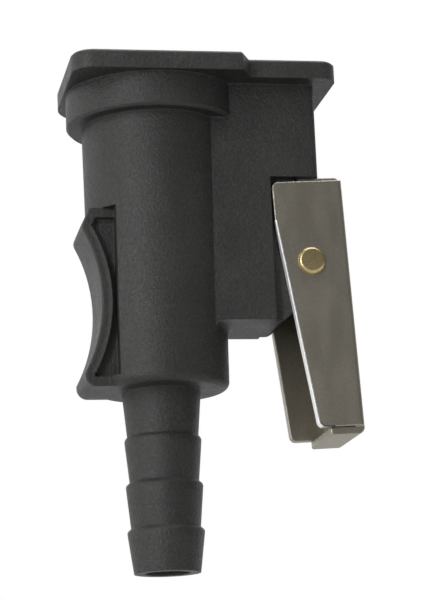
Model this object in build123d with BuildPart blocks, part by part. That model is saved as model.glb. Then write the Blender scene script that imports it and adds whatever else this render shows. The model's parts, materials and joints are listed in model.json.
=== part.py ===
"""Quick disconnect coupling, female half, for a 3/8 inch fuel or water hose.

A moulded body with a hose tail, a sprung check valve behind the port seal, a blind
socket for the plug's guide pin, and a sprung sheet-metal latch that hooks the pin.

Frame: the origin is the centre of the port in the mating face, +Z leaves the port
towards the plug, +X points from the port to the guide socket and the latch.
"""

import os
from math import asin, atan2, cos, degrees, radians, sin

from build123d import *

# ---------------------------------------------------------------- driving sizes, mm

# Flange on the mating face: a wide head around the port, a narrow one around the socket
flange_thickness = 2.6
head_left = 12.3
head_half_width = 12.7
head_right = 10.9
head_step_run = 1.6
head_front_radius = 3.0
head_rear_radius = 6.5
tongue_half_width = 9.45
tongue_right = 24.8
tongue_radius = 2.4
flange_edge_chamfer = 0.3

# Barrel, its collar under the flange, and its foot
collar_radius = 11.9
collar_depth = 7.45
collar_edge_chamfer = 0.35
barrel_radius = 9.8
foot_radius = 9.35
foot_depth = 44.75
foot_edge_radius = 1.1

# Hose tail: a tapered shank, then barbs that hold the hose
tail_length = 24.6
shank_top_radius = 5.4
shank_end_radius = 4.85
barb_count = 3
barb_pitch = 6.2
barb_crest_radius = 5.25
barb_root_radius = 4.7
barb_first_crest = 5.6
barb_shoulder = 0.5
tail_tip_radius = 4.5
tail_bore_radius = 3.1
barb_crest_chamfer = 0.15

# Finger grip opposite the latch: a saddle with a raised rim
grip_half_width = 5.3
grip_core_half_width = 4.35
grip_rim = 1.35
grip_top = 20.2
grip_upper_tip = 22.8
grip_lower_tip = 42.9
grip_tip_reach = 10.95
grip_hollow_reach = 8.4
grip_inner_reach = 3.0
grip_pocket_reach = 6.4
grip_upper_tip_radius = 1.2
grip_corner_radius = 1.5
grip_edge_chamfer = 0.15
grip_bead_inset = 1.0
grip_bead_width = 0.65
grip_bead_rise = 0.3
grip_bead_chamfer = 0.25

# Lobe that carries the guide socket and the latch
lobe_half_width = 6.65
lobe_right = 22.0
lobe_corner_radius = 0.8
lobe_bottom = 36.0
lobe_bottom_run = 16.4
lobe_bottom_radius = 1.5
lobe_blend_radius = 1.2
cheek_recess_gap = 0.18
slot_side_gap = 0.2
slot_cheek_gap = 0.68
latch_step_depth = 14.85
notch_back = 18.8
ear_half_width = 5.3
ear_boss_radius = 3.4

# Guide socket, blind: a guiding bore down to the latch step, a narrower one for the pin's tip
socket_x = 16.9
socket_radius = 3.1
socket_tip_radius = 2.9
socket_depth = 21.5
socket_lead_in = 0.5

# Port: bush over the seal, seal seat, valve chamber
bush_radius = 7.0
bush_length = 4.6
bush_bore_radius = 4.1
bush_lead_in = 0.3
seal_section_radius = 1.2
seal_mean_radius = 5.05
seal_section_sides = 12
seal_side_room = 0.1
seal_end_room = 0.05
chamber_radius = 5.2
chamber_depth = 33.5

# Check valve and its spring
valve_seal_gap = 0.12
valve_head_radius = 4.85
valve_head_thickness = 1.9
valve_nose_radius = 3.3
valve_nose_rise = 0.9
valve_nose_round = 0.5
valve_fin_clearance = 0.08
valve_fin_thickness = 1.3
valve_fin_length = 6.6
valve_fin_count = 4
valve_stem_radius = 2.3
valve_stem_tail = 4.0
valve_stem_chamfer = 0.5
valve_spring_mean_radius = 4.2
valve_spring_wire_radius = 0.4
valve_spring_turns = 6.5
valve_spring_end_gap = 0.05

# Latch lever: a folded channel, given in its own upright axes about the pivot
pivot_x = 20.4
pivot_depth = 27.85
latch_lean = 2.4
latch_half_width = 6.65
sheet = 1.2
latch_back = 5.3
latch_front = 4.55
latch_knee = 5.95
latch_bottom = 23.0
latch_near_toe_front = 1.05
latch_far_toe_front = 2.3
latch_corner_radius = 0.85
latch_knee_radius = 1.2
latch_bend_radius = 0.6
hook_step_gap = 1.0
hook_rise = 0.73
hook_ear_gap = 0.4
hook_sheet = 1.0
hook_reach = 5.9
hook_half_width = 5.3
hook_tip_radius = 0.3
toe_tab_gap = 0.1
toe_tab_front = 0.65
toe_tab_sheet = 1.0
toe_tab_half_width = 6.1
tab_bend_radius = 0.9

# Sides that the round wire of both springs is drawn with
wire_sides = 8

# Pivot rivet
rivet_radius = 1.5
rivet_running_clearance = 0.05
rivet_head_radius = 1.93
rivet_head_height = 0.6
rivet_head_flat_radius = 0.75
rivet_head_land = 0.06
rivet_tail_radius = 1.9
rivet_tail_height = 0.5
rivet_tail_round = 0.4

# Latch spring: a torsion spring round the rivet, in a pocket of the ear
latch_spring_mean_radius = 2.2
latch_spring_wire_radius = 0.35
latch_spring_turns = 4.5
latch_spring_pitch = 0.8
latch_spring_seat_gap = 0.08
latch_spring_web_leg = 10.5
latch_spring_wall_leg = 5.0
latch_spring_bend = 1.0
spring_pocket_side_room = 0.35
spring_pocket_round_room = 0.5

# How far an open-ended cut runs past the body
cut_overrun = 5.0

# ---------------------------------------------------------------- values worked out

tip_z = -(foot_depth + tail_length)
barb_crests = [tip_z + barb_first_crest + barb_pitch * k for k in range(barb_count)]
seal_z = -(bush_length + seal_end_room + seal_section_radius)
seal_seat_z = seal_z - seal_section_radius - seal_end_room
seal_seat_radius = seal_mean_radius + seal_section_radius + seal_side_room
valve_head_z = seal_z - seal_section_radius - valve_seal_gap
valve_fin_top_z = valve_head_z - valve_head_thickness
valve_fin_end_z = valve_fin_top_z - valve_fin_length
valve_fin_radius = chamber_radius - valve_fin_clearance
spring_top_z = valve_fin_end_z - valve_spring_end_gap
spring_floor_z = -chamber_depth + valve_spring_end_gap
coil_half_width = (latch_spring_turns * latch_spring_pitch) / 2 + latch_spring_wire_radius
pocket_half_width = coil_half_width + spring_pocket_side_room
pocket_radius = latch_spring_mean_radius + latch_spring_wire_radius + spring_pocket_round_room
wall_leg_x = pivot_x - latch_spring_mean_radius
pocket_left = wall_leg_x - latch_spring_wire_radius - latch_spring_seat_gap
beyond = tongue_right + cut_overrun

lean = radians(latch_lean)
hook_top = pivot_depth - latch_step_depth - hook_step_gap
latch_top = hook_top - hook_rise
slot_depth = latch_step_depth + hook_step_gap + hook_rise - slot_cheek_gap
slot_half_width = hook_half_width + slot_side_gap
notch_floor_depth = latch_step_depth + hook_step_gap + hook_sheet + hook_ear_gap
cheek_top_x = pivot_x - latch_front * cos(lean) - latch_top * sin(lean)
cheek_recess_left = cheek_top_x - cheek_recess_gap
latch_plane = Plane(
    origin=(pivot_x, 0, -pivot_depth),
    x_dir=(cos(lean), 0, sin(lean)),
    z_dir=(0, -1, 0),
)


# ---------------------------------------------------------------- body

grip_middle = (grip_upper_tip + grip_lower_tip) / 2
with BuildSketch(Plane.XZ) as grip_side:
    with BuildLine():
        top = Polyline(
            (-grip_inner_reach, -grip_top),
            (-barrel_radius, -grip_top),
            (-grip_tip_reach, -grip_upper_tip),
        )
        saddle = ThreePointArc(
            top @ 1,
            (-grip_hollow_reach, -grip_middle),
            (-grip_tip_reach, -grip_lower_tip),
        )
        Polyline(
            saddle @ 1,
            (-grip_tip_reach, -foot_depth),
            (-grip_inner_reach, -foot_depth),
            top @ 0,
        )
    make_face()
    foot_tip = grip_side.vertices().sort_by_distance((-grip_tip_reach, -foot_depth))[0]
    fillet(foot_tip, radius=grip_corner_radius)
    upper_tip = grip_side.vertices().sort_by_distance((-grip_tip_reach, -grip_upper_tip))[0]
    fillet(upper_tip, radius=grip_upper_tip_radius)

with BuildPart() as grip_rim_band:
    with BuildSketch(Plane.XZ):
        add(grip_side.sketch)
        offset(grip_side.sketch, amount=-grip_rim, mode=Mode.SUBTRACT)
    extrude(amount=grip_half_width, both=True)
    front_edges = grip_rim_band.edges().group_by(Axis.Y)[0]
    rear_edges = grip_rim_band.edges().group_by(Axis.Y)[-1]
    chamfer(front_edges + rear_edges, length=grip_edge_chamfer)

# The bead runs beside the saddle's edge, a little way in
with BuildPart() as grip_bead:
    with BuildSketch(Plane.XZ):
        with BuildLine():
            bead_outer = grip_bead_inset
            bead_inner = grip_bead_inset + grip_bead_width
            outer_arc = ThreePointArc(
                (bead_outer - grip_tip_reach, -grip_upper_tip),
                (bead_outer - grip_hollow_reach, -grip_middle),
                (bead_outer - grip_tip_reach, -grip_lower_tip),
            )
            inner_arc = ThreePointArc(
                (bead_inner - grip_tip_reach, -grip_upper_tip),
                (bead_inner - grip_hollow_reach, -grip_middle),
                (bead_inner - grip_tip_reach, -grip_lower_tip),
            )
            Line(outer_arc @ 0, inner_arc @ 0)
            Line(outer_arc @ 1, inner_arc @ 1)
        make_face()
    extrude(amount=grip_half_width + grip_bead_rise, both=True)
    bead_front = grip_bead.edges().group_by(Axis.Y)[0]
    bead_rear = grip_bead.edges().group_by(Axis.Y)[-1]
    chamfer(bead_front + bead_rear, length=grip_bead_chamfer)

with BuildPart() as body:
    # Barrel, collar and barbed tail, turned as one
    with BuildSketch(Plane.XZ) as turned:
        with BuildLine():
            outline = [(0, tip_z), (tail_tip_radius, tip_z)]
            for number, crest_z in enumerate(barb_crests):
                last = number == barb_count - 1
                root_radius = shank_end_radius if last else barb_root_radius
                outline.append((barb_crest_radius, crest_z))
                outline.append((root_radius, crest_z + barb_shoulder))
            outline.append((shank_top_radius, -foot_depth))
            outline.append((foot_radius, -foot_depth))
            outline.append((barrel_radius, -collar_depth))
            outline.append((collar_radius, -collar_depth))
            outline.append((collar_radius, -flange_thickness))
            outline.append((0, -flange_thickness))
            Polyline(*outline, close=True)
        make_face()
        crest_corners = [v for v in turned.vertices() if abs(v.X - barb_crest_radius) < 1e-6]
        chamfer(crest_corners, length=barb_crest_chamfer)
        foot_corner = turned.vertices().sort_by_distance((foot_radius, -foot_depth))[0]
        fillet(foot_corner, radius=foot_edge_radius)
        collar_corner = turned.vertices().sort_by_distance((collar_radius, -collar_depth))[0]
        chamfer(collar_corner, length=collar_edge_chamfer)
    revolve(axis=Axis.Z)

    # Lobe beside the barrel: full width above the latch step and beside the recess
    with BuildSketch(Plane.XZ):
        with BuildLine():
            Polyline(
                (0, -flange_thickness),
                (lobe_right, -flange_thickness),
                (lobe_right, -latch_step_depth),
                (cheek_recess_left, -latch_step_depth),
                (cheek_recess_left, -lobe_bottom),
                (0, -lobe_bottom),
                close=True,
            )
        make_face()
    extrude(amount=lobe_half_width, both=True)
    # Sides of the slot that the hook enters by, carried down past the hook
    slot_run = lobe_right - cheek_recess_left
    slot_wall = lobe_half_width - slot_half_width
    slot_wall_middle = (lobe_half_width + slot_half_width) / 2
    with BuildSketch(Plane.XY.offset(-latch_step_depth)):
        with Locations((cheek_recess_left, -slot_wall_middle), (cheek_recess_left, slot_wall_middle)):
            Rectangle(slot_run, slot_wall, align=(Align.MIN, Align.CENTER))
    extrude(amount=latch_step_depth - slot_depth)
    lobe_corners = [
        e
        for e in body.edges().filter_by(Axis.Z)
        if abs(e.center().X - lobe_right) < 1e-6 and abs(abs(e.center().Y) - lobe_half_width) < 1e-6
    ]
    fillet(lobe_corners, radius=lobe_corner_radius)

    # Ear that the rivet passes through, between the latch's cheeks
    with BuildSketch(Plane.XZ) as ear_side:
        with BuildLine():
            Polyline(
                (0, -notch_floor_depth),
                (lobe_right, -notch_floor_depth),
                (lobe_right, -pivot_depth),
                (pivot_x, -pivot_depth),
                (lobe_bottom_run, -lobe_bottom),
                (0, -lobe_bottom),
                close=True,
            )
        make_face()
        with BuildLine():
            boss = CenterArc((pivot_x, -pivot_depth), ear_boss_radius, 0, 360)
        make_face()
        with BuildLine():
            flank_run = pivot_x - lobe_bottom_run
            flank_rise = lobe_bottom - pivot_depth
            flank_length = (flank_run**2 + flank_rise**2) ** 0.5
            flank_angle = degrees(atan2(flank_rise, flank_run)) - degrees(
                asin(ear_boss_radius / flank_length)
            )
            tangent_length = (flank_length**2 - ear_boss_radius**2) ** 0.5
            tangent_point = (
                lobe_bottom_run + tangent_length * cos(radians(flank_angle)),
                -lobe_bottom + tangent_length * sin(radians(flank_angle)),
            )
            Polyline(
                (lobe_bottom_run, -lobe_bottom),
                tangent_point,
                (pivot_x, -pivot_depth),
                close=True,
            )
        make_face()
        flank_foot = ear_side.vertices().sort_by_distance((lobe_bottom_run, -lobe_bottom))[0]
        fillet(flank_foot, radius=lobe_bottom_radius)
    extrude(amount=ear_half_width, both=True)
    # Blend where the lobe's underside runs into the barrel
    underside_seam = [
        e
        for e in body.edges().filter_by(GeomType.CIRCLE)
        if abs(e.center().Z + lobe_bottom) < 1e-6 and abs(e.arc_center.X) < 1e-6
    ]
    fillet(underside_seam, radius=lobe_blend_radius)
    # The hook's notch joins the ear to the lobe at its back only
    with BuildSketch(Plane.XZ):
        with BuildLine():
            Polyline(
                (0, -latch_step_depth),
                (notch_back, -latch_step_depth),
                (notch_back, -notch_floor_depth),
                (0, -notch_floor_depth),
                close=True,
            )
        make_face()
    extrude(amount=ear_half_width, both=True)

    # Flange on the mating face
    with BuildSketch(Plane.XY.offset(-flange_thickness)) as flange_outline:
        with BuildLine():
            step_x = head_right + head_step_run
            Polyline(
                (-head_left, -head_half_width),
                (head_right, -head_half_width),
                (step_x, -tongue_half_width),
                (tongue_right, -tongue_half_width),
                (tongue_right, tongue_half_width),
                (step_x, tongue_half_width),
                (head_right, head_half_width),
                (-head_left, head_half_width),
                close=True,
            )
        make_face()
        left = flange_outline.vertices().group_by(Axis.X)[0].sort_by(Axis.Y)
        fillet(left[0], radius=head_front_radius)
        left = flange_outline.vertices().group_by(Axis.X)[0].sort_by(Axis.Y)
        fillet(left[-1], radius=head_rear_radius)
        fillet(flange_outline.vertices().group_by(Axis.X)[-1], radius=tongue_radius)
    extrude(amount=flange_thickness)
    top_edges = body.faces().sort_by(Axis.Z)[-1].edges()
    chamfer(top_edges, length=flange_edge_chamfer)

    # Grip: a pocket in the barrel's side, then the core, the rim and the bead in it
    with BuildSketch(Plane.XZ):
        with Locations((-grip_pocket_reach, -grip_top)):
            Rectangle(
                collar_radius - grip_pocket_reach,
                foot_depth - grip_rim - grip_top,
                align=(Align.MAX, Align.MAX),
            )
    extrude(amount=collar_radius, both=True, mode=Mode.SUBTRACT)
    with BuildSketch(Plane.XZ):
        add(grip_side.sketch)
    extrude(amount=grip_core_half_width, both=True)
    add(grip_rim_band.part)
    add(grip_bead.part)

    # Port: bush recess, seal seat, valve chamber and the bore through the tail
    with BuildSketch(Plane.XZ):
        with BuildLine():
            bush_floor = -bush_length
            Polyline(
                (0, 0),
                (bush_radius, 0),
                (bush_radius, bush_floor),
                (seal_seat_radius, bush_floor),
                (seal_seat_radius, seal_seat_z),
                (chamber_radius, seal_seat_z),
                (chamber_radius, -chamber_depth),
                (tail_bore_radius, -chamber_depth),
                (tail_bore_radius, tip_z),
                (0, tip_z),
                close=True,
            )
        make_face()
    revolve(axis=Axis.Z, mode=Mode.SUBTRACT)

    # Guide socket with its lead-in
    with BuildSketch(Plane.XY):
        with Locations((socket_x, 0)):
            Circle(socket_radius)
    extrude(amount=-latch_step_depth, mode=Mode.SUBTRACT)
    with BuildSketch(Plane.XY):
        with Locations((socket_x, 0)):
            Circle(socket_tip_radius)
    extrude(amount=-socket_depth, mode=Mode.SUBTRACT)
    mouth = (
        body.edges()
        .filter_by(GeomType.CIRCLE)
        .sort_by_distance((socket_x, socket_radius, 0))[0]
    )
    chamfer(mouth, length=socket_lead_in)

    # Pocket for the latch spring, open downwards and towards the latch
    with BuildSketch(Plane.XZ):
        with Locations((pivot_x, -pivot_depth)):
            Circle(pocket_radius)
        with BuildLine():
            Polyline(
                (pocket_left, -pivot_depth),
                (pivot_x, -pivot_depth + pocket_radius),
                (beyond, -pivot_depth + pocket_radius),
                (beyond, -foot_depth),
                (pocket_left, -foot_depth),
                close=True,
            )
        make_face()
    extrude(amount=pocket_half_width, both=True, mode=Mode.SUBTRACT)

    # Rivet hole through both walls of the ear
    with BuildSketch(Plane.XZ):
        with Locations((pivot_x, -pivot_depth)):
            Circle(rivet_radius + rivet_running_clearance)
    extrude(amount=lobe_half_width, both=True, mode=Mode.SUBTRACT)

body.part.label = "body"

# ---------------------------------------------------------------- seal bush and port seal

with BuildPart() as port_bush:
    with BuildSketch(Plane.XZ) as bush_section:
        with BuildLine():
            Polyline(
                (bush_bore_radius, 0),
                (bush_radius, 0),
                (bush_radius, -bush_length),
                (bush_bore_radius, -bush_length),
                close=True,
            )
        make_face()
        lead_corner = bush_section.vertices().sort_by_distance((bush_bore_radius, 0))[0]
        chamfer(lead_corner, length=bush_lead_in)
    revolve(axis=Axis.Z)
port_bush.part.label = "port_bush"

with BuildPart() as port_seal:
    with BuildSketch(Plane.XZ):
        with Locations((seal_mean_radius, seal_z)):
            RegularPolygon(seal_section_radius, seal_section_sides)
    revolve(axis=Axis.Z)
port_seal.part.label = "port_seal"

# ---------------------------------------------------------------- check valve and spring

with BuildPart() as check_valve:
    # Nose, head and stem, turned
    with BuildSketch(Plane.XZ) as valve_section:
        with BuildLine():
            Polyline(
                (0, valve_head_z + valve_nose_rise),
                (valve_nose_radius, valve_head_z + valve_nose_rise),
                (valve_nose_radius, valve_head_z),
                (valve_head_radius, valve_head_z),
                (valve_head_radius, valve_fin_top_z),
                (valve_stem_radius, valve_fin_top_z),
                (valve_stem_radius, valve_fin_end_z - valve_stem_tail),
                (0, valve_fin_end_z - valve_stem_tail),
                close=True,
            )
        make_face()
        nose_corner = valve_section.vertices().sort_by_distance(
            (valve_nose_radius, valve_head_z + valve_nose_rise)
        )[0]
        fillet(nose_corner, radius=valve_nose_round)
        stem_corner = valve_section.vertices().sort_by_distance(
            (valve_stem_radius, valve_fin_end_z - valve_stem_tail)
        )[0]
        chamfer(stem_corner, length=valve_stem_chamfer)
    revolve(axis=Axis.Z)
    # Guide fins, which let the liquid past
    with BuildSketch(Plane.XY.offset(valve_fin_end_z)):
        with PolarLocations(0, valve_fin_count):
            Rectangle(
                valve_fin_radius,
                valve_fin_thickness,
                align=(Align.MIN, Align.CENTER),
            )
        Circle(valve_fin_radius, mode=Mode.INTERSECT)
    extrude(amount=valve_fin_length)
check_valve.part.label = "check_valve"

with BuildPart() as valve_spring:
    coil_height = spring_top_z - spring_floor_z - 2 * valve_spring_wire_radius
    with BuildLine():
        coil = Helix(
            pitch=coil_height / valve_spring_turns,
            height=coil_height,
            radius=valve_spring_mean_radius,
            center=(0, 0, spring_floor_z + valve_spring_wire_radius),
        )
    with BuildSketch(Plane(origin=coil @ 0, z_dir=coil % 0)):
        RegularPolygon(valve_spring_wire_radius, wire_sides)
    sweep(path=coil)
valve_spring.part.label = "valve_spring"

# ---------------------------------------------------------------- latch

with BuildPart() as latch_lever:
    # Folded channel: the solid of its outside, then its hollow; the cheeks' toes differ
    for toe_front, side in ((latch_near_toe_front, 1), (latch_far_toe_front, -1)):
        with BuildSketch(latch_plane) as cheek_side:
            with BuildLine():
                Polyline(
                    (-latch_front, latch_top),
                    (latch_back, latch_top),
                    (latch_back, -latch_bottom),
                    (-toe_front, -latch_bottom),
                    (-latch_front, latch_knee),
                    close=True,
                )
            make_face()
            corners = cheek_side.vertices()
            top_corner = corners.sort_by_distance((-latch_front, latch_top))[0]
            toe_corner = corners.sort_by_distance((-toe_front, -latch_bottom))[0]
            knee_corner = corners.sort_by_distance((-latch_front, latch_knee))[0]
            fillet([top_corner, toe_corner], radius=latch_corner_radius)
            fillet(knee_corner, radius=latch_knee_radius)
        extrude(amount=side * latch_half_width)
    web = latch_lever.faces().sort_by_distance(latch_plane.from_local_coords((latch_back, 0, 0)))[0]
    fillet(web.edges().sort_by(SortBy.LENGTH)[-2:], radius=latch_bend_radius)
    with BuildSketch(latch_plane):
        with BuildLine():
            Polyline(
                (-latch_front - sheet, hook_top),
                (latch_back - sheet, hook_top),
                (latch_back - sheet, -latch_bottom - sheet),
                (-latch_front - sheet, -latch_bottom - sheet),
                close=True,
            )
        make_face()
    extrude(amount=latch_half_width - sheet, both=True, mode=Mode.SUBTRACT)
    # Hook, folded in from the web over the cheeks
    with BuildSketch(latch_plane) as hook_side:
        with BuildLine():
            Polyline(
                (latch_back - hook_reach, hook_top),
                (latch_back, hook_top),
                (latch_back, latch_top - latch_corner_radius),
                (latch_back - sheet, latch_top - latch_corner_radius),
                (latch_back - sheet, hook_top - hook_sheet),
                (latch_back - hook_reach, hook_top - hook_sheet),
                close=True,
            )
        make_face()
        hook_bend = hook_side.vertices().sort_by_distance((latch_back, hook_top))[0]
        fillet(hook_bend, radius=tab_bend_radius)
        hook_tip = hook_side.vertices().sort_by_distance((latch_back - hook_reach, hook_top))[0]
        fillet(hook_tip, radius=hook_tip_radius)
    extrude(amount=hook_half_width, both=True)
    # Toe tab, folded in from the web under the cheeks
    with BuildSketch(latch_plane) as toe_side:
        with BuildLine():
            toe_top = -latch_bottom - toe_tab_gap
            Polyline(
                (toe_tab_front, toe_top),
                (latch_back - sheet, toe_top),
                (latch_back - sheet, -latch_bottom + latch_corner_radius),
                (latch_back, -latch_bottom + latch_corner_radius),
                (latch_back, toe_top - toe_tab_sheet),
                (toe_tab_front, toe_top - toe_tab_sheet),
                close=True,
            )
        make_face()
        toe_bend = toe_side.vertices().sort_by_distance((latch_back, toe_top - toe_tab_sheet))[0]
        fillet(toe_bend, radius=tab_bend_radius)
        toe_tip = toe_side.vertices().sort_by_distance((toe_tab_front, toe_top - toe_tab_sheet))[0]
        fillet(toe_tip, radius=hook_tip_radius)
    extrude(amount=toe_tab_half_width, both=True)
    # Rivet hole through both cheeks
    with BuildSketch(latch_plane):
        Circle(rivet_radius)
    extrude(amount=latch_half_width, both=True, mode=Mode.SUBTRACT)
latch_lever.part.label = "latch_lever"

with BuildPart() as pivot_rivet:
    with BuildSketch(latch_plane):
        Circle(rivet_radius)
    extrude(amount=latch_half_width, both=True)
    # Set head at the front: a low dome with a flat at its middle
    with BuildSketch(latch_plane.offset(latch_half_width)):
        Circle(rivet_head_radius)
    extrude(amount=rivet_head_height)
    # Upset tail at the rear
    with BuildSketch(latch_plane.offset(-latch_half_width)):
        Circle(rivet_tail_radius)
    extrude(amount=-rivet_tail_height)
    crown = pivot_rivet.faces().sort_by(Axis.Y)[0].edges()
    dome_rise = rivet_head_height - rivet_head_land
    dome_run = rivet_head_radius - rivet_head_flat_radius
    chamfer(crown, length=dome_rise, length2=dome_run)
    foot = pivot_rivet.faces().sort_by(Axis.Y)[-1].edges()
    fillet(foot, radius=rivet_tail_round)
pivot_rivet.part.label = "pivot_rivet"

coil_plane = Plane(
    origin=(pivot_x, -latch_spring_turns * latch_spring_pitch / 2, -pivot_depth),
    x_dir=(-1, 0, 0),
    z_dir=(0, 1, 0),
)
with BuildPart() as latch_spring:
    # Winding round the rivet, from the wall side over the top to the web side
    winding = Helix(
        pitch=latch_spring_pitch,
        height=latch_spring_turns * latch_spring_pitch,
        radius=latch_spring_mean_radius,
        mode=Mode.PRIVATE,
    ).moved(coil_plane.location)
    wall_end = winding @ 0
    web_end = winding @ 1
    with BuildSketch(Plane(origin=wall_end, z_dir=winding % 0)):
        RegularPolygon(latch_spring_wire_radius, wire_sides)
    sweep(path=winding)
    # Leg on the inside of the lever's web, after a short bend
    leg_reach = latch_back - sheet - latch_spring_wire_radius - latch_spring_seat_gap
    web_foot = latch_plane.from_local_coords((leg_reach, -latch_spring_web_leg, -web_end.Y))
    with BuildLine() as web_leg:
        bend = Line(web_end, web_end + (winding % 1) * latch_spring_bend)
        Line(bend @ 1, web_foot)
    with BuildSketch(Plane(origin=web_end, z_dir=winding % 1)):
        RegularPolygon(latch_spring_wire_radius, wire_sides)
    sweep(path=web_leg.wire(), transition=Transition.ROUND)
    # Leg on the pocket's wall
    with BuildSketch(Plane(origin=wall_end, z_dir=-(winding % 0))):
        RegularPolygon(latch_spring_wire_radius, wire_sides)
    extrude(amount=latch_spring_wall_leg)
latch_spring.part.label = "latch_spring"

# ---------------------------------------------------------------- output

os.makedirs("parts", exist_ok=True)
for piece in (
    body,
    port_bush,
    port_seal,
    check_valve,
    valve_spring,
    latch_lever,
    pivot_rivet,
    latch_spring,
):
    export_step(piece.part, f"parts/{piece.part.label}.step")
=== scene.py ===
"""Scene for a plastic quick disconnect coupling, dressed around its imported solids.

Every piece stands in the coupling's own frame, in metres: the origin is the centre of
the port in the mating face, +Z leaves the port, and +X points to the guide socket.
"""

import json
import logging
import math
from dataclasses import dataclass
from enum import Enum

import bpy
import bmesh
import numpy as np
from mathutils import Matrix, Vector


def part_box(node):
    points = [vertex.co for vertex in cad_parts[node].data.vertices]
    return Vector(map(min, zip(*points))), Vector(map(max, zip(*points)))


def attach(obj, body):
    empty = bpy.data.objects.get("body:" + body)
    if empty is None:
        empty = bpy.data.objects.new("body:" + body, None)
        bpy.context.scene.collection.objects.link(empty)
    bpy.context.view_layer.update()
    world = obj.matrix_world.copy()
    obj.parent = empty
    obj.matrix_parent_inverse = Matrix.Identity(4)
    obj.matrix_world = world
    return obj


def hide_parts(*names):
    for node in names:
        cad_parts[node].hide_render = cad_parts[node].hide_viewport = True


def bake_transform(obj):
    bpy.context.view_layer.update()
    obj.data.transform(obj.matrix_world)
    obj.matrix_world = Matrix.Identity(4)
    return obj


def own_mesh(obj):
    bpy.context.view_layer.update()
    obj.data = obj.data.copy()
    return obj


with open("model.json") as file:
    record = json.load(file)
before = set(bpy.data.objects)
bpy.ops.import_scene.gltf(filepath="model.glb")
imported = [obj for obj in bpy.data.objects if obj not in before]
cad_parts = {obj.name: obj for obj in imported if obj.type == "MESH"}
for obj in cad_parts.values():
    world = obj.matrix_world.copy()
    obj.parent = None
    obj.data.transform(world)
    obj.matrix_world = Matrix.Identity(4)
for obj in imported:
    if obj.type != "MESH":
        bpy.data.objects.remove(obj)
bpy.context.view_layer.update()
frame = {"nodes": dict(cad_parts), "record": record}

LOG = logging.getLogger("coupling")
MM = 0.001
FULL_TURN = 2.0 * math.pi
BEVEL_SAMPLES = 6
CUT_BEVEL_SAMPLES = 8

Triple = tuple[float, float, float]


class Slot(Enum):
    """The record's material slots."""

    MOULDED_PLASTIC = "moulded_plastic"
    BUSH_PLASTIC = "bush_plastic"
    SEAL_RUBBER = "seal_rubber"
    VALVE_PLASTIC = "valve_plastic"
    SPRING_STEEL = "spring_steel"
    NICKEL_PLATE = "nickel_plate"
    RIVET_BRASS = "rivet_brass"


class Body(Enum):
    """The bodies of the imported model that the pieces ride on."""

    HOUSING = "housing"
    VALVE = "valve"
    LATCH = "latch"


# ------------------------------------------------------------------ shader node groups


class GroupName(Enum):
    """The shader node groups that several finishes share."""

    EDGE_MASK = "edge_mask"
    GRAIN = "fine_grain"
    MOTTLE = "broad_mottle"
    FLECKS = "bright_flecks"
    CUT = "sheared_cut_painted_highlight"


class TreeBuilder:
    """Places nodes in a node tree and links them."""

    def __init__(self, tree: bpy.types.NodeTree) -> None:
        """Remembers where nodes go.

        Args:
            tree: The node tree.
        """
        self.tree = tree

    def node(self, kind: str, **settings: object) -> bpy.types.Node:
        """Adds a node and sets properties on it.

        Args:
            kind: The node's type name.
            settings: Properties to set.

        Returns:
            The new node.
        """
        made = self.tree.nodes.new(kind)
        for key, value in settings.items():
            setattr(made, key, value)
        return made

    def join(self, source: bpy.types.NodeSocket, target: bpy.types.NodeSocket) -> None:
        """Links one socket to another."""
        self.tree.links.new(source, target)


class GroupBuilder(TreeBuilder):
    """Makes a shader node group socket by socket and node by node."""

    def __init__(self, name: GroupName) -> None:
        """Starts an empty group.

        Args:
            name: Which group this is.
        """
        super().__init__(bpy.data.node_groups.new(name.value, "ShaderNodeTree"))
        self.inlet = self.tree.nodes.new("NodeGroupInput")
        self.outlet = self.tree.nodes.new("NodeGroupOutput")

    def take(self, name: str, default: float | Triple) -> None:
        """Adds an input for a number or a vector.

        Args:
            name: The input's name.
            default: Its value where a finish says nothing.
        """
        kind = "NodeSocketVector" if isinstance(default, tuple) else "NodeSocketFloat"
        socket = self.tree.interface.new_socket(name=name, in_out="INPUT", socket_type=kind)
        socket.default_value = default

    def give(self, name: str) -> None:
        """Adds a number output that varies over the surface."""
        self.tree.interface.new_socket(name=name, in_out="OUTPUT", socket_type="NodeSocketFloat")


def ramp(
    builder: GroupBuilder,
    value: bpy.types.NodeSocket,
    low: float | bpy.types.NodeSocket,
    high: float | bpy.types.NodeSocket,
) -> bpy.types.NodeSocket:
    """Stretches a value so that low becomes 0 and high becomes 1, with a smooth step.

    Args:
        builder: The group that the node goes into.
        value: What is stretched.
        low: A number, or a socket that holds one.
        high: A number, or a socket that holds one.

    Returns:
        The stretched value's socket.
    """
    node = builder.node("ShaderNodeMapRange", interpolation_type="SMOOTHSTEP")
    builder.join(value, node.inputs["Value"])
    for name, end in (("From Min", low), ("From Max", high)):
        if isinstance(end, bpy.types.NodeSocket):
            builder.join(end, node.inputs[name])
        else:
            node.inputs[name].default_value = end
    return node.outputs["Result"]


def times(
    builder: GroupBuilder, first: bpy.types.NodeSocket, second: bpy.types.NodeSocket
) -> bpy.types.NodeSocket:
    """Multiplies two values."""
    node = builder.node("ShaderNodeMath", operation="MULTIPLY")
    builder.join(first, node.inputs[0])
    builder.join(second, node.inputs[1])
    return node.outputs[0]


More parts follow.
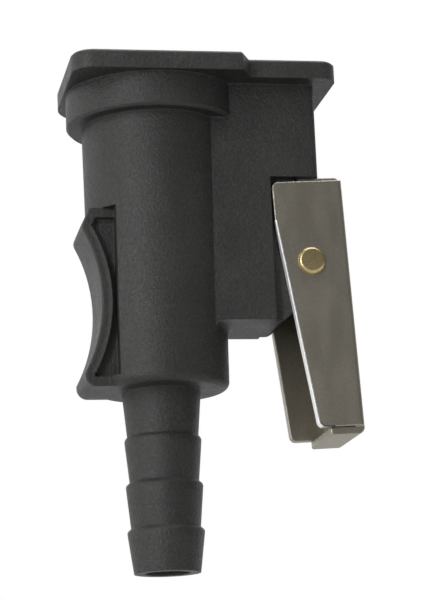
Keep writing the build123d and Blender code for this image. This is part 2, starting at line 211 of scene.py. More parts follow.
def make_edge_mask() -> bpy.types.NodeTree:
    """Marks edges and corners: 1 on an edge, 0 on a face, broken up by noise.

    The mask is one minus the dot product of the surface normal and the same normal
    rounded over a small radius, so it grows only where two faces meet.

    Returns:
        The group, with inputs Radius and Breakup, and output Mask.
    """
    made = GroupBuilder(GroupName.EDGE_MASK)
    made.take("Radius", 0.0004)
    made.take("Breakup", 0.5)
    made.give("Mask")
    soft = made.node("ShaderNodeBevel", samples=BEVEL_SAMPLES)
    made.join(made.inlet.outputs["Radius"], soft.inputs["Radius"])
    plain = made.node("ShaderNodeNewGeometry")
    dot = made.node("ShaderNodeVectorMath", operation="DOT_PRODUCT")
    made.join(soft.outputs["Normal"], dot.inputs[0])
    made.join(plain.outputs["Normal"], dot.inputs[1])
    away = made.node("ShaderNodeMath", operation="SUBTRACT")
    away.inputs[0].default_value = 1.0
    made.join(dot.outputs["Value"], away.inputs[1])
    edge = ramp(made, away.outputs[0], 0.005, 0.16)
    where = made.node("ShaderNodeTexCoord")
    noise = made.node("ShaderNodeTexNoise")
    noise.inputs["Scale"].default_value = 900.0
    noise.inputs["Detail"].default_value = 4.0
    made.join(where.outputs["Object"], noise.inputs["Vector"])
    patchy = ramp(made, noise.outputs["Fac"], 0.35, 0.65)
    kept = made.node("ShaderNodeMix", data_type="FLOAT")
    made.join(made.inlet.outputs["Breakup"], kept.inputs["Factor"])
    kept.inputs[2].default_value = 1.0
    made.join(patchy, kept.inputs[3])
    made.join(times(made, edge, kept.outputs[0]), made.outlet.inputs["Mask"])
    return made.tree


def make_grain() -> bpy.types.NodeTree:
    """Fine spark-eroded grain: a height from two noises, one coarse and one fine.

    Returns:
        The group, with inputs Scale, Coarse and Fine, and outputs Height and Pits,
        where Pits is 1 in the grain's hollows and 0 on its crests.
    """
    made = GroupBuilder(GroupName.GRAIN)
    made.take("Scale", 4200.0)
    made.take("Coarse", 0.6)
    made.take("Fine", 0.4)
    made.give("Height")
    made.give("Pits")
    where = made.node("ShaderNodeTexCoord")
    total = None
    for share, factor in (("Coarse", 1.0), ("Fine", 2.7)):
        scale = made.node("ShaderNodeMath", operation="MULTIPLY")
        made.join(made.inlet.outputs["Scale"], scale.inputs[0])
        scale.inputs[1].default_value = factor
        noise = made.node("ShaderNodeTexNoise")
        noise.inputs["Detail"].default_value = 2.0
        made.join(where.outputs["Object"], noise.inputs["Vector"])
        made.join(scale.outputs[0], noise.inputs["Scale"])
        part = times(made, noise.outputs["Fac"], made.inlet.outputs[share])
        if total is None:
            total = part
        else:
            both = made.node("ShaderNodeMath", operation="ADD")
            made.join(total, both.inputs[0])
            made.join(part, both.inputs[1])
            total = both.outputs[0]
    made.join(total, made.outlet.inputs["Height"])
    made.join(ramp(made, total, 0.62, 0.38), made.outlet.inputs["Pits"])
    return made.tree


def make_mottle() -> bpy.types.NodeTree:
    """Broad, soft patches from 0 to 1, stretched along the piece where asked.

    Returns:
        The group, with inputs Scale and Stretch, and output Mask.
    """
    made = GroupBuilder(GroupName.MOTTLE)
    made.take("Scale", 160.0)
    made.take("Stretch", 1.0)
    made.give("Mask")
    where = made.node("ShaderNodeTexCoord")
    sizes = made.node("ShaderNodeCombineXYZ")
    sizes.inputs["X"].default_value = 1.0
    sizes.inputs["Y"].default_value = 1.0
    made.join(made.inlet.outputs["Stretch"], sizes.inputs["Z"])
    drawn = made.node("ShaderNodeVectorMath", operation="MULTIPLY")
    made.join(where.outputs["Object"], drawn.inputs[0])
    made.join(sizes.outputs[0], drawn.inputs[1])
    noise = made.node("ShaderNodeTexNoise")
    noise.inputs["Detail"].default_value = 3.0
    made.join(drawn.outputs[0], noise.inputs["Vector"])
    made.join(made.inlet.outputs["Scale"], noise.inputs["Scale"])
    made.join(ramp(made, noise.outputs["Fac"], 0.3, 0.7), made.outlet.inputs["Mask"])
    return made.tree


def make_flecks() -> bpy.types.NodeTree:
    """Scattered pin-point marks: 1 at the middle of a few random cells, 0 elsewhere.

    Returns:
        The group, with inputs Scale and Size, and output Mask.
    """
    made = GroupBuilder(GroupName.FLECKS)
    made.take("Scale", 1800.0)
    made.take("Size", 0.2)
    made.give("Mask")
    where = made.node("ShaderNodeTexCoord")
    cells = made.node("ShaderNodeTexVoronoi", feature="F1")
    made.join(where.outputs["Object"], cells.inputs["Vector"])
    made.join(made.inlet.outputs["Scale"], cells.inputs["Scale"])
    near = made.node("ShaderNodeMapRange", interpolation_type="SMOOTHSTEP")
    made.join(cells.outputs["Distance"], near.inputs["Value"])
    near.inputs["From Min"].default_value = 0.0
    made.join(made.inlet.outputs["Size"], near.inputs["From Max"])
    near.inputs["To Min"].default_value = 1.0
    near.inputs["To Max"].default_value = 0.0
    split = made.node("ShaderNodeSeparateColor")
    made.join(cells.outputs["Color"], split.inputs[0])
    chosen = ramp(made, split.outputs[0], 0.8, 0.9)
    made.join(times(made, near.outputs["Result"], chosen), made.outlet.inputs["Mask"])
    return made.tree


def make_cut_highlight() -> bpy.types.NodeTree:
    """Marks a painted highlight on a sheared cut of folded sheet, and a painted dark line on the
    rollover beside it.

    The surface normal is rounded over a small radius and measured along the direction
    that the cut faces: it is 1 on the cut, where the highlight is painted, falls to 0
    across the rollover, and the start of that fall is the thin line of painted shade.
    Limits along X, Y and Z say how far the cut runs.

    Returns:
        The group, with inputs Radius, Right, Rear, Top, Bottom and Faces, and outputs
        Mask and Line.
    """
    made = GroupBuilder(GroupName.CUT)
    made.take("Radius", 0.0004)
    made.take("Right", 1.0)
    made.take("Rear", 0.0)
    made.take("Top", 1.0)
    made.take("Bottom", -1.0)
    made.take("Faces", (0.0, 0.0, 0.0))
    made.give("Mask")
    made.give("Line")
    soft = made.node("ShaderNodeBevel", samples=CUT_BEVEL_SAMPLES)
    made.join(made.inlet.outputs["Radius"], soft.inputs["Radius"])
    along = made.node("ShaderNodeVectorMath", operation="DOT_PRODUCT")
    made.join(soft.outputs["Normal"], along.inputs[0])
    made.join(made.inlet.outputs["Faces"], along.inputs[1])
    where = made.node("ShaderNodeTexCoord")
    axes = made.node("ShaderNodeSeparateXYZ")
    made.join(where.outputs["Object"], axes.inputs[0])
    within = None
    for axis, limit, side in (
        ("X", "Right", "LESS_THAN"),
        ("Y", "Rear", "LESS_THAN"),
        ("Z", "Top", "LESS_THAN"),
        ("Z", "Bottom", "GREATER_THAN"),
    ):
        inside = made.node("ShaderNodeMath", operation=side)
        made.join(axes.outputs[axis], inside.inputs[0])
        made.join(made.inlet.outputs[limit], inside.inputs[1])
        within = inside.outputs[0] if within is None else times(made, within, inside.outputs[0])
    bright = ramp(made, along.outputs["Value"], 0.14, 0.26)
    start = ramp(made, along.outputs["Value"], 0.015, 0.05)
    rest = made.node("ShaderNodeMath", operation="SUBTRACT")
    made.join(start, rest.inputs[0])
    made.join(bright, rest.inputs[1])
    made.join(times(made, bright, within), made.outlet.inputs["Mask"])
    made.join(times(made, rest.outputs[0], within), made.outlet.inputs["Line"])
    return made.tree


class Workshop:
    """Keeps the shared node groups, each made once."""

    def __init__(self) -> None:
        """Makes every shared group."""
        self.groups: dict[GroupName, bpy.types.NodeTree] = {
            GroupName.EDGE_MASK: make_edge_mask(),
            GroupName.GRAIN: make_grain(),
            GroupName.MOTTLE: make_mottle(),
            GroupName.FLECKS: make_flecks(),
            GroupName.CUT: make_cut_highlight(),
        }


# ------------------------------------------------------------------ finishes


@dataclass(frozen=True)
class CutHighlight:
    """Where a sheared cut of sheet metal gets a painted highlight and a painted dark line beside
    it, in metres.
    """

    faces: Triple
    right: float
    rear: float
    top: float
    bottom: float
    radius: float = 0.0005
    # The painted highlight's colour and metallic, and how dark the painted line beside it is.
    colour: Triple = (0.99, 0.99, 0.99)
    metallic: float = 0.45
    painted_line_shade: float = 0.85


@dataclass(frozen=True)
class Finish:
    """A finish: a base colour that varies, a roughness that varies, lighter edges for wear and
    painted sheen, and grain.

    Colours are linear red, green and blue. Lengths are in metres.
    """

    name: str
    colour: Triple
    second_colour: Triple
    edge_colour: Triple
    metallic: float = 0.0
    roughness: float = 0.5
    roughness_spread: float = 0.1
    specular: float = 0.5
    coat: float = 0.0
    edge_radius: float = 0.0002
    edge_strength: float = 0.6
    edge_breakup: float = 0.5
    mottle_scale: float = 160.0
    mottle_stretch: float = 1.0
    grain_scale: float = 4200.0
    grain_depth: float = 0.000015
    grain_strength: float = 0.3
    pit_shade: float = 0.1
    pit_roughness: float = 0.05
    fleck_scale: float = 1800.0
    fleck_size: float = 0.2
    speck_and_glint_colour: Triple = (0.2, 0.2, 0.2)
    fleck_strength: float = 0.0
    fleck_gloss: float = 0.0
    cut: CutHighlight | None = None

    def material(self, workshop: Workshop) -> bpy.types.Material:
        """Builds the Blender material.

        Args:
            workshop: Where the shared node groups are kept.

        Returns:
            The material.
        """
        made = bpy.data.materials.new(self.name)
        made.use_nodes = True
        tree = made.node_tree
        tree.nodes.clear()
        painter = Painter(tree, workshop)
        shader = painter.node("ShaderNodeBsdfPrincipled")
        shader.inputs["Metallic"].default_value = self.metallic
        shader.inputs["Specular IOR Level"].default_value = self.specular
        shader.inputs["Coat Weight"].default_value = self.coat
        patches = painter.group(
            GroupName.MOTTLE, Scale=self.mottle_scale, Stretch=self.mottle_stretch
        )["Mask"]
        edges = painter.group(
            GroupName.EDGE_MASK, Radius=self.edge_radius, Breakup=self.edge_breakup
        )["Mask"]
        grain = painter.group(GroupName.GRAIN, Scale=self.grain_scale)
        colour = painter.mix(patches, self.colour, self.second_colour)
        shaded = painter.scaled(grain["Pits"], self.pit_shade)
        colour = painter.mix(shaded, colour, (0.0, 0.0, 0.0))
        # Lightens the edges: wear on most finishes, partly painted sheen on the nickel plate.
        edge_wear_and_sheen = painter.scaled(edges, self.edge_strength)
        colour = painter.mix(edge_wear_and_sheen, colour, self.edge_colour)
        rough = painter.between(patches, self.roughness, self.roughness + self.roughness_spread)
        rough = painter.total(rough, painter.scaled(grain["Pits"], self.pit_roughness))
        # Light specks: partly flecks in the material, partly painted glints of its grain; their
        # roughness is lowered too.
        if self.fleck_strength > 0:
            flecks = painter.group(GroupName.FLECKS, Scale=self.fleck_scale, Size=self.fleck_size)
            specks_and_glints = painter.scaled(flecks["Mask"], self.fleck_strength)
            colour = painter.mix(specks_and_glints, colour, self.speck_and_glint_colour)
            rough = painter.total(rough, painter.scaled(flecks["Mask"], -self.fleck_gloss))
        # Paints a highlight on the sheared cut and a dark line of painted shade beside it.
        if self.cut is not None:
            cut = painter.group(
                GroupName.CUT,
                Radius=self.cut.radius,
                Faces=self.cut.faces,
                Right=self.cut.right,
                Rear=self.cut.rear,
                Top=self.cut.top,
                Bottom=self.cut.bottom,
            )
            line = painter.scaled(cut["Line"], self.cut.painted_line_shade)
            colour = painter.mix(line, colour, (0.0, 0.0, 0.0))
            colour = painter.mix(cut["Mask"], colour, self.cut.colour)
            bare = painter.between(cut["Mask"], self.metallic, self.cut.metallic)
            painter.join(bare, shader.inputs["Metallic"])
        painter.join(colour, shader.inputs["Base Color"])
        painter.join(rough, shader.inputs["Roughness"])
        bump = painter.node("ShaderNodeBump")
        bump.inputs["Strength"].default_value = self.grain_strength
        bump.inputs["Distance"].default_value = self.grain_depth
        painter.join(grain["Height"], bump.inputs["Height"])
        rounded = painter.node("ShaderNodeBevel", samples=BEVEL_SAMPLES)
        rounded.inputs["Radius"].default_value = self.edge_radius
        painter.join(rounded.outputs["Normal"], bump.inputs["Normal"])
        painter.join(bump.outputs["Normal"], shader.inputs["Normal"])
        out = painter.node("ShaderNodeOutputMaterial")
        painter.join(shader.outputs["BSDF"], out.inputs["Surface"])
        return made


class Painter(TreeBuilder):
    """Places nodes in a material's own tree."""

    def __init__(self, tree: bpy.types.NodeTree, workshop: Workshop) -> None:
        """Remembers where nodes go.

        Args:
            tree: The material's node tree.
            workshop: Where the shared node groups are kept.
        """
        super().__init__(tree)
        self.workshop = workshop

    def group(self, name: GroupName, **values: float | Triple) -> bpy.types.NodeOutputs:
        """Places a shared group with its own values.

        Args:
            name: Which group.
            values: A number or vector for each input that differs from its default.

        Returns:
            The group's outputs, which go by name.
        """
        made = self.node("ShaderNodeGroup")
        made.node_tree = self.workshop.groups[name]
        for key, value in values.items():
            made.inputs[key].default_value = value
        return made.outputs

    def mix(
        self,
        mask: bpy.types.NodeSocket,
        low: Triple | bpy.types.NodeSocket,
        high: Triple | bpy.types.NodeSocket,
    ) -> bpy.types.NodeSocket:
        """Mixes two colours by a mask.

        Args:
            mask: 0 gives low, 1 gives high.
            low: A colour, or a socket that holds one.
            high: A colour, or a socket that holds one.

        Returns:
            The mixed colour's socket.
        """
        made = self.node("ShaderNodeMix", data_type="RGBA")
        self.join(mask, made.inputs[0])
        for index, side in ((6, low), (7, high)):
            if isinstance(side, bpy.types.NodeSocket):
                self.join(side, made.inputs[index])
            else:
                made.inputs[index].default_value = (*side, 1.0)
        return made.outputs[2]

    def scaled(self, mask: bpy.types.NodeSocket, strength: float) -> bpy.types.NodeSocket:
        """Multiplies a mask by a strength."""
        made = self.node("ShaderNodeMath", operation="MULTIPLY")
        self.join(mask, made.inputs[0])
        made.inputs[1].default_value = strength
        return made.outputs[0]

    def total(
        self, first: bpy.types.NodeSocket, second: bpy.types.NodeSocket
    ) -> bpy.types.NodeSocket:
        """Adds two values."""
        made = self.node("ShaderNodeMath", operation="ADD")
        self.join(first, made.inputs[0])
        self.join(second, made.inputs[1])
        return made.outputs[0]

    def between(
        self, mask: bpy.types.NodeSocket, low: float, high: float
    ) -> bpy.types.NodeSocket:
        """Turns a mask from 0 to 1 into a number from low to high."""
        made = self.node("ShaderNodeMapRange")
        self.join(mask, made.inputs["Value"])
        made.inputs["To Min"].default_value = low
        made.inputs["To Max"].default_value = high
        return made.outputs["Result"]


BLACK_MOULDING = Finish(
    name="black_satin_moulding",
    colour=(0.0225, 0.0238, 0.0212),
    second_colour=(0.0285, 0.0298, 0.0270),
    edge_colour=(0.055, 0.056, 0.052),
    roughness=0.36,
    roughness_spread=0.08,
    specular=0.46,
    edge_radius=0.0003,
    edge_strength=0.35,
    grain_scale=2800.0,
    grain_depth=0.00016,
    grain_strength=1.0,
    pit_shade=0.42,
    pit_roughness=0.12,
    # Light specks: partly flecks in the moulding, partly painted glints of its grain.
    fleck_scale=2600.0,
    fleck_size=0.3,
    speck_and_glint_colour=(0.12, 0.125, 0.14),
    fleck_strength=0.6,
    fleck_gloss=0.22,
)
SATIN_NICKEL = Finish(
    name="satin_nickel_plate",
    colour=(0.438, 0.406, 0.338),
    second_colour=(0.472, 0.440, 0.370),
    # Lighter edges: partly worn plating, partly painted sheen.
    edge_colour=(0.78, 0.75, 0.69),
    metallic=1.0,
    roughness=0.39,
    roughness_spread=0.04,
    pit_shade=0.16,
    pit_roughness=0.04,
    edge_radius=0.00025,
    edge_strength=0.6,
    # Painted highlight on the near cheek's slanted front edge, with a painted dark line beside it.
    cut=CutHighlight(
        faces=(-0.987, 0.0, -0.161), right=0.0225, rear=0.0, top=-0.0221, bottom=-0.0508
    ),
    edge_breakup=0.1,
    mottle_scale=420.0,
    mottle_stretch=0.25,
    grain_scale=3400.0,
    grain_depth=0.000008,
    grain_strength=0.35,
)
RIVET_BRASS = Finish(
    name="rivet_brass",
    colour=(0.88, 0.72, 0.405),
    second_colour=(0.58, 0.45, 0.225),
    edge_colour=(0.84, 0.71, 0.42),
    metallic=1.0,
    roughness=0.28,
    roughness_spread=0.14,
    edge_radius=0.0002,
    edge_strength=0.3,
    pit_shade=0.3,
    mottle_scale=700.0,
    grain_scale=6000.0,
    grain_depth=0.000006,
)
SPRING_STEEL = Finish(
    name="drawn_spring_steel",
    colour=(0.42, 0.41, 0.39),
    second_colour=(0.30, 0.29, 0.27),
    edge_colour=(0.6, 0.6, 0.58),
    metallic=1.0,
    roughness=0.28,
    roughness_spread=0.15,
    edge_strength=0.2,
    mottle_scale=900.0,
    grain_scale=7000.0,
    grain_depth=0.000004,
)
SEAL_RUBBER = Finish(
    name="nitrile_seal",
    colour=(0.008, 0.008, 0.0085),
    second_colour=(0.014, 0.014, 0.014),
    edge_colour=(0.02, 0.02, 0.02),
    roughness=0.55,
    roughness_spread=0.15,
    specular=0.4,
    grain_scale=5000.0,
)
BUSH_PLASTIC = Finish(
    name="seal_bush_plastic",
    colour=(0.020, 0.021, 0.020),
    second_colour=(0.028, 0.028, 0.026),
    edge_colour=(0.06, 0.06, 0.055),
    roughness=0.34,
    roughness_spread=0.10,
    edge_strength=0.6,
    grain_scale=5000.0,
    grain_depth=0.00001,
)
VALVE_PLASTIC = Finish(
    name="natural_acetal",
    colour=(0.58, 0.56, 0.50),
    second_colour=(0.66, 0.64, 0.58),
    edge_colour=(0.75, 0.73, 0.68),
    roughness=0.36,
    roughness_spread=0.10,
    edge_strength=0.3,
    grain_scale=5000.0,
    grain_depth=0.000008,
)


# ------------------------------------------------------------------ surfaces


def grid_faces(rows: int, columns: int, close_rows: bool, close_columns: bool) -> np.ndarray:
    """Corner numbers of the quads of a grid of points, row by row.

    Args:
        rows: How many rows of points.
        columns: How many points in a row.
        close_rows: Whether the last row joins the first.
        close_columns: Whether a row's last point joins its first.

    Returns:
        An array of quads, four corner numbers each.
    """
    row = np.arange(rows if close_rows else rows - 1)
    column = np.arange(columns if close_columns else columns - 1)
    r, c = np.meshgrid(row, column, indexing="ij")
    after, right = (r + 1) % rows, (c + 1) % columns
    corners = np.stack(
        [r * columns + c, r * columns + right, after * columns + right, after * columns + c],
        axis=-1,
    )
    return corners.reshape(-1, 4)


def piece_from(
    name: str, points: np.ndarray, quads: np.ndarray, caps: tuple[np.ndarray, ...] = ()
) -> bpy.types.Object:
    """Makes an object at the origin from an array of points and an array of quads.

    Args:
        name: The piece's name.
        points: Points in metres, one a line.
        quads: Corner numbers, four a line.
        caps: Rings of corner numbers that close the ends.

    Returns:
        The object, linked to the scene, its faces pointing outwards.
    """
    mesh = bpy.data.meshes.new(name)
    faces = quads.tolist() + [cap.tolist() for cap in caps]
    mesh.from_pydata(points.tolist(), [], faces)
    made = bpy.data.objects.new(name, mesh)
    bpy.context.scene.collection.objects.link(made)
    work = bmesh.new()
    work.from_mesh(mesh)
    bmesh.ops.remove_doubles(work, verts=work.verts, dist=1e-8)
    bmesh.ops.recalc_face_normals(work, faces=work.faces)
    work.to_mesh(mesh)
    work.free()
    mesh.polygons.foreach_set("use_smooth", np.ones(len(mesh.polygons), bool))
    return made


def turned(name: str, profile: np.ndarray, segments: int = 96) -> bpy.types.Object:
    """A closed profile turned about the Z axis.

    The point at angle a and profile step k is radius k times the cosine and sine of a,
    at height k.

    Args:
        name: The piece's name.
        profile: Radius and height in metres, one a line, as a closed loop.
        segments: How many steps in the turn.

    Returns:
        The piece.
    """
    angle = np.linspace(0.0, FULL_TURN, segments, endpoint=False)[:, None]
    radius, height = profile[None, :, 0], profile[None, :, 1]
    points = np.stack(
        [radius * np.cos(angle), radius * np.sin(angle), height + 0.0 * angle], axis=-1
    )
    quads = grid_faces(segments, len(profile), True, True)
    return piece_from(name, points.reshape(-1, 3), quads)


def wire(
    name: str, path: np.ndarray, radius: float, axis: Triple, sides: int = 14
) -> bpy.types.Object:
    """A round wire along a path that winds about an axis, closed at both ends.

    At each point of the path the ring is the path's point plus the radius times the
    cosine of the ring angle along one cross direction and its sine along the other. The
    first cross direction is the path's direction crossed with the axis, the second is
    the path's direction crossed with the first.

    Args:
        name: The piece's name.
        path: Points in metres, one a line, nowhere running along the axis.
        radius: The wire's radius in metres.
        axis: The direction that the path winds about.
        sides: How many sides the ring has.

    Returns:
        The piece.
    """
    along = np.gradient(path, axis=0)
    along /= np.linalg.norm(along, axis=1, keepdims=True)
    across = np.cross(along, np.array(axis))
    across /= np.linalg.norm(across, axis=1, keepdims=True)
    other = np.cross(along, across)
    angle = np.linspace(0.0, FULL_TURN, sides, endpoint=False)[None, :, None]
    rings = path[:, None] + radius * (
        np.cos(angle) * across[:, None] + np.sin(angle) * other[:, None]
    )
    last = (len(path) - 1) * sides
    caps = (np.arange(sides)[::-1], last + np.arange(sides))
    return piece_from(name, rings.reshape(-1, 3), grid_faces(len(path), sides, False, True), caps)


def smooth_copy(node: str, name: str, sharp_degrees: float) -> bpy.types.Object:
    """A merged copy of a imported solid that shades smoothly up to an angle.

    The solid's own mesh is loose triangles and is left alone. The copy's doubles are
    merged, and edges that turn more than the angle stay sharp.

    Args:
        node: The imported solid's name.
        name: The piece's name.
        sharp_degrees: The angle past which an edge stays sharp.

    Returns:
        The piece, which stands for the solid.
    """
    mesh = frame["nodes"][node].data.copy()
    mesh.name = name
    mesh.materials.clear()
    if mesh.has_custom_normals:
        mesh.normals_split_custom_set([(0.0, 0.0, 0.0)] * len(mesh.loops))
        mesh.attributes.remove(mesh.attributes["custom_normal"])
    work = bmesh.new()
    work.from_mesh(mesh)
    bmesh.ops.remove_doubles(work, verts=work.verts, dist=2e-7)
    work.to_mesh(mesh)
    work.free()
    mesh.shade_smooth()
    mesh.set_sharp_from_angle(angle=math.radians(sharp_degrees))
    made = bpy.data.objects.new(name, mesh)
    bpy.context.scene.collection.objects.link(made)
    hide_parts(node)
    return made


def arc(
    centre: tuple[float, float], radius: float, start: float, stop: float, steps: int
) -> np.ndarray:
    """Points on an arc: the centre plus the radius times cosine and sine of the angle.

    Args:
        centre: The arc's centre, radius and height.
        radius: The arc's own radius.
        start: First angle in degrees.
        stop: Last angle in degrees.
        steps: How many points.

    Returns:
        The points, one a line.
    """
    angle = np.radians(np.linspace(start, stop, steps))
    return np.stack([centre[0] + radius * np.cos(angle), centre[1] + radius * np.sin(angle)], -1)


# ------------------------------------------------------------------ sub-assemblies


def dress(piece: bpy.types.Object, material: bpy.types.Material) -> bpy.types.Object:
    """Gives a piece its material and logs how many faces it has.

    Args:
        piece: The piece.
        material: Its material.

    Returns:
        The same piece.
    """
    piece.data.materials.append(material)
    LOG.info("%s: %d faces", piece.name, len(piece.data.polygons))
    return piece


def finish_piece(
    piece: bpy.types.Object, body: Body, material: bpy.types.Material
) -> bpy.types.Object:
    """Dresses a piece and lets it ride on its body.

    Args:
        piece: The piece.
        body: The body that it moves with.
        material: Its material.

    Returns:
        The same piece.
    """
    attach(dress(piece, material), body.value)
    return piece


def joint_record(name: str) -> dict:
    """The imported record's own entry for a joint.

    Args:
        name: The joint's name.

    Returns:
        The entry, with its place, axis and range.
    """
    return next(j for j in frame["record"]["behaviour"]["joints"] if j["name"] == name)


@dataclass
class MouldedBody:
    """The one-piece body: flange, collar, barrel, lobe, grip and barbed hose tail."""

    materials: Workshop
    sharp_degrees: float = 28.0

    def build(self) -> bpy.types.Object:
        """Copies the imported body, rounds its shading and dresses it."""
        piece = smooth_copy("body", "moulded_body", self.sharp_degrees)
        return finish_piece(
            piece, Body.HOUSING, BLACK_MOULDING.material(self.materials)
        )


@dataclass
class PortAssembly:
    """The bush, the seal, the check valve and its spring. Lengths in millimetres."""

    materials: Workshop
    bush_lip: float = 0.3
    bush_sharp_degrees: float = 25.0
    valve_sharp_degrees: float = 30.0
    seal_steps: int = 40
    spring_turns: float = 6.5
    spring_wire: float = 0.4
    spring_steps: int = 320

    def bush(self) -> bpy.types.Object:
        """A ring whose section is a rectangle with a lead-in at its mouth."""
        low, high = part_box("port_bush")
        outer, top, bottom = high.x, high.z, low.z
        vertices = frame["nodes"]["port_bush"].data.vertices
        places = np.empty(3 * len(vertices))
        vertices.foreach_get("co", places)
        bore = float(np.hypot(places[0::3], places[1::3]).min())
        lip = self.bush_lip * MM
        profile = np.array(
            [(bore + lip, top), (outer, top), (outer, bottom), (bore, bottom), (bore, top - lip)]
        )
        piece = turned("port_bush_ring", profile)
        piece.data.set_sharp_from_angle(angle=math.radians(self.bush_sharp_degrees))
        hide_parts("port_bush")
        return finish_piece(
            piece, Body.HOUSING, BUSH_PLASTIC.material(self.materials)
        )

    def seal(self) -> bpy.types.Object:
        """A torus: a circle of the section's radius turned about the port's axis."""
        low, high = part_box("port_seal")
        section = (high.z - low.z) / 2
        centre = (high.x - section, (high.z + low.z) / 2)
        piece = turned("port_seal_ring", arc(centre, section, 0, 360, self.seal_steps)[:-1])
        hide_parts("port_seal")
        return finish_piece(
            piece, Body.HOUSING, SEAL_RUBBER.material(self.materials)
        )

    def valve(self) -> bpy.types.Object:
        """The check valve: a smoothly shaded copy of its solid."""
        piece = smooth_copy("check_valve", "check_valve_body", self.valve_sharp_degrees)
        return finish_piece(
            piece, Body.VALVE, VALVE_PLASTIC.material(self.materials)
        )

    def spring(self) -> bpy.types.Object:
        """A helix of round wire: angle and height both grow evenly along it."""
        low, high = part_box("valve_spring")
        wire_radius = self.spring_wire * MM
        mean = (high.x - low.x) / 2 - wire_radius
        share = np.linspace(0.0, 1.0, self.spring_steps)
        angle = FULL_TURN * self.spring_turns * share
        height = low.z + wire_radius + (high.z - low.z - 2 * wire_radius) * share
        path = np.stack([mean * np.cos(angle), mean * np.sin(angle), height], -1)
        piece = wire("valve_spring_wire", path, wire_radius, axis=(0.0, 0.0, 1.0))
        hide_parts("valve_spring")
        finish_piece(
            piece, Body.HOUSING, SPRING_STEEL.material(self.materials)
        )
        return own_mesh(piece)

    def build(self) -> None:
        """Builds the four pieces."""
        self.bush()
        self.seal()
        self.valve()
        self.spring()


@dataclass
class LatchAssembly:
    """The folded latch, its rivet and its torsion spring. Lengths in millimetres."""

    materials: Workshop
    lever_sharp_degrees: float = 32.0
    rivet_edge: float = 0.5
    rivet_tail_edge: float = 0.4
    rivet_segments: int = 64
    head_rim_steps: int = 15
    tail_rim_steps: int = 9
    shank_radius: float = 1.5
    lean: float = 2.4
    coil_radius: float = 2.2
    coil_turns: float = 4.5
    coil_pitch: float = 0.8
    wire_radius: float = 0.35
    wall_leg: float = 5.0
    web_bend: float = 1.0
    web_leg: float = 10.5
    web_reach: float = 3.67
    coil_steps: int = 260
    leg_steps: int = 40

    def lever(self) -> bpy.types.Object:
        """The folded channel: a smoothly shaded copy of its solid."""
        piece = smooth_copy("latch_lever", "folded_latch", self.lever_sharp_degrees)
        return finish_piece(
            piece, Body.LATCH, SATIN_NICKEL.material(self.materials)
        )

    def rivet(self) -> bpy.types.Object:
        """The pivot rivet, turned about its own axis: flat heads with rounded rims.

        The profile runs from the upset tail's middle out round its rim, in to the
        shank, along it, out to the set head and in round its rim to its middle. The
        set head's rim is an elliptic quarter. The turned points are then laid down so
        that their height runs towards the front of the coupling.
        """
        low, high = (np.array(corner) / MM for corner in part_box("pivot_rivet"))
        lever_low, lever_high = (np.array(corner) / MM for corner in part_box("latch_lever"))
        pivot = np.array(joint_record("latch_squeeze")["pos_m"]) / MM
        head = (high[0] - low[0]) / 2
        tail_rim = arc(
            (head - self.rivet_tail_edge, self.rivet_tail_edge - high[1]),
            self.rivet_tail_edge,
            start=-90,
            stop=0,
            steps=self.tail_rim_steps,
        )
        quarter = np.linspace(0.0, math.pi / 2, self.head_rim_steps)
        top = -low[1]
        head_rise = top + lever_low[1]
        head_rim = np.stack(
            [
                head - self.rivet_edge * (1 - np.cos(quarter)),
                top - head_rise * (1 - np.sin(quarter)),
            ],
            -1,
        )
        shank = np.array([(self.shank_radius, -lever_high[1]), (self.shank_radius, -lever_low[1])])
        tail_middle, head_middle = np.array([(0.0, -high[1])]), np.array([(0.0, top)])
        profile = np.concatenate([tail_middle, tail_rim, shank, head_rim, head_middle])
        piece = turned("latch_rivet", profile * MM, segments=self.rivet_segments)
        places = np.empty((len(piece.data.vertices), 3))
        piece.data.vertices.foreach_get("co", places.ravel())
        laid = np.stack([places[:, 0], -places[:, 2], places[:, 1]], -1)
        laid += pivot * np.array([1.0, 0.0, 1.0]) * MM
        piece.data.vertices.foreach_set("co", laid.ravel())
        piece.data.update()
        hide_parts("pivot_rivet")
        return finish_piece(
            piece, Body.LATCH, RIVET_BRASS.material(self.materials)
        )

    def spring(self) -> bpy.types.Object:
        """The torsion spring: a straight leg, a coil round the rivet, then a bowed leg.

        The coil turns and shifts along the rivet evenly. The straight leg runs back
        along the coil's first direction. The bowed leg is a quadratic curve from the
        coil's end, by a point further on in the coil's last direction, to the foot on
        the inside of the lever's web.
        """
        pivot = np.array(joint_record("latch_squeeze")["pos_m"]) / MM
        shift = self.coil_pitch / FULL_TURN
        turn = FULL_TURN * self.coil_turns
        angle = np.linspace(0.0, turn, self.coil_steps)
        side = shift * (angle - turn / 2)
        coil = pivot + np.stack(
            [-self.coil_radius * np.cos(angle), side, self.coil_radius * np.sin(angle)], -1
        )
        pace = np.array([0.0, shift, self.coil_radius])
        pace /= np.linalg.norm(pace)
        back = np.linspace(self.wall_leg, 0.0, self.leg_steps, endpoint=False)[:, None]
        straight = coil[0] - pace * back
        lean = math.radians(self.lean)
        outwards = np.array([math.cos(lean), 0.0, math.sin(lean)])
        downwards = np.array([math.sin(lean), 0.0, -math.cos(lean)])
        foot = pivot + self.web_reach * outwards + self.web_leg * downwards
        foot[1] = coil[-1, 1]
        knee = coil[-1] + self.web_bend * pace * np.array([1.0, 1.0, -1.0])
        share = np.linspace(0.0, 1.0, self.leg_steps + 1)[1:, None]
        bowed = (1 - share) ** 2 * coil[-1] + 2 * share * (1 - share) * knee + share**2 * foot
        path = np.concatenate([straight, coil, bowed]) * MM
        piece = wire("latch_spring_wire", path, self.wire_radius * MM, axis=(0.0, 1.0, 0.0))
        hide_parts("latch_spring")
        dress(piece, SPRING_STEEL.material(self.materials))
        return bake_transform(piece)

    def build(self) -> None:
        """Builds the three pieces."""
        self.lever()
        self.rivet()
        self.spring()


# ------------------------------------------------------------------ surroundings


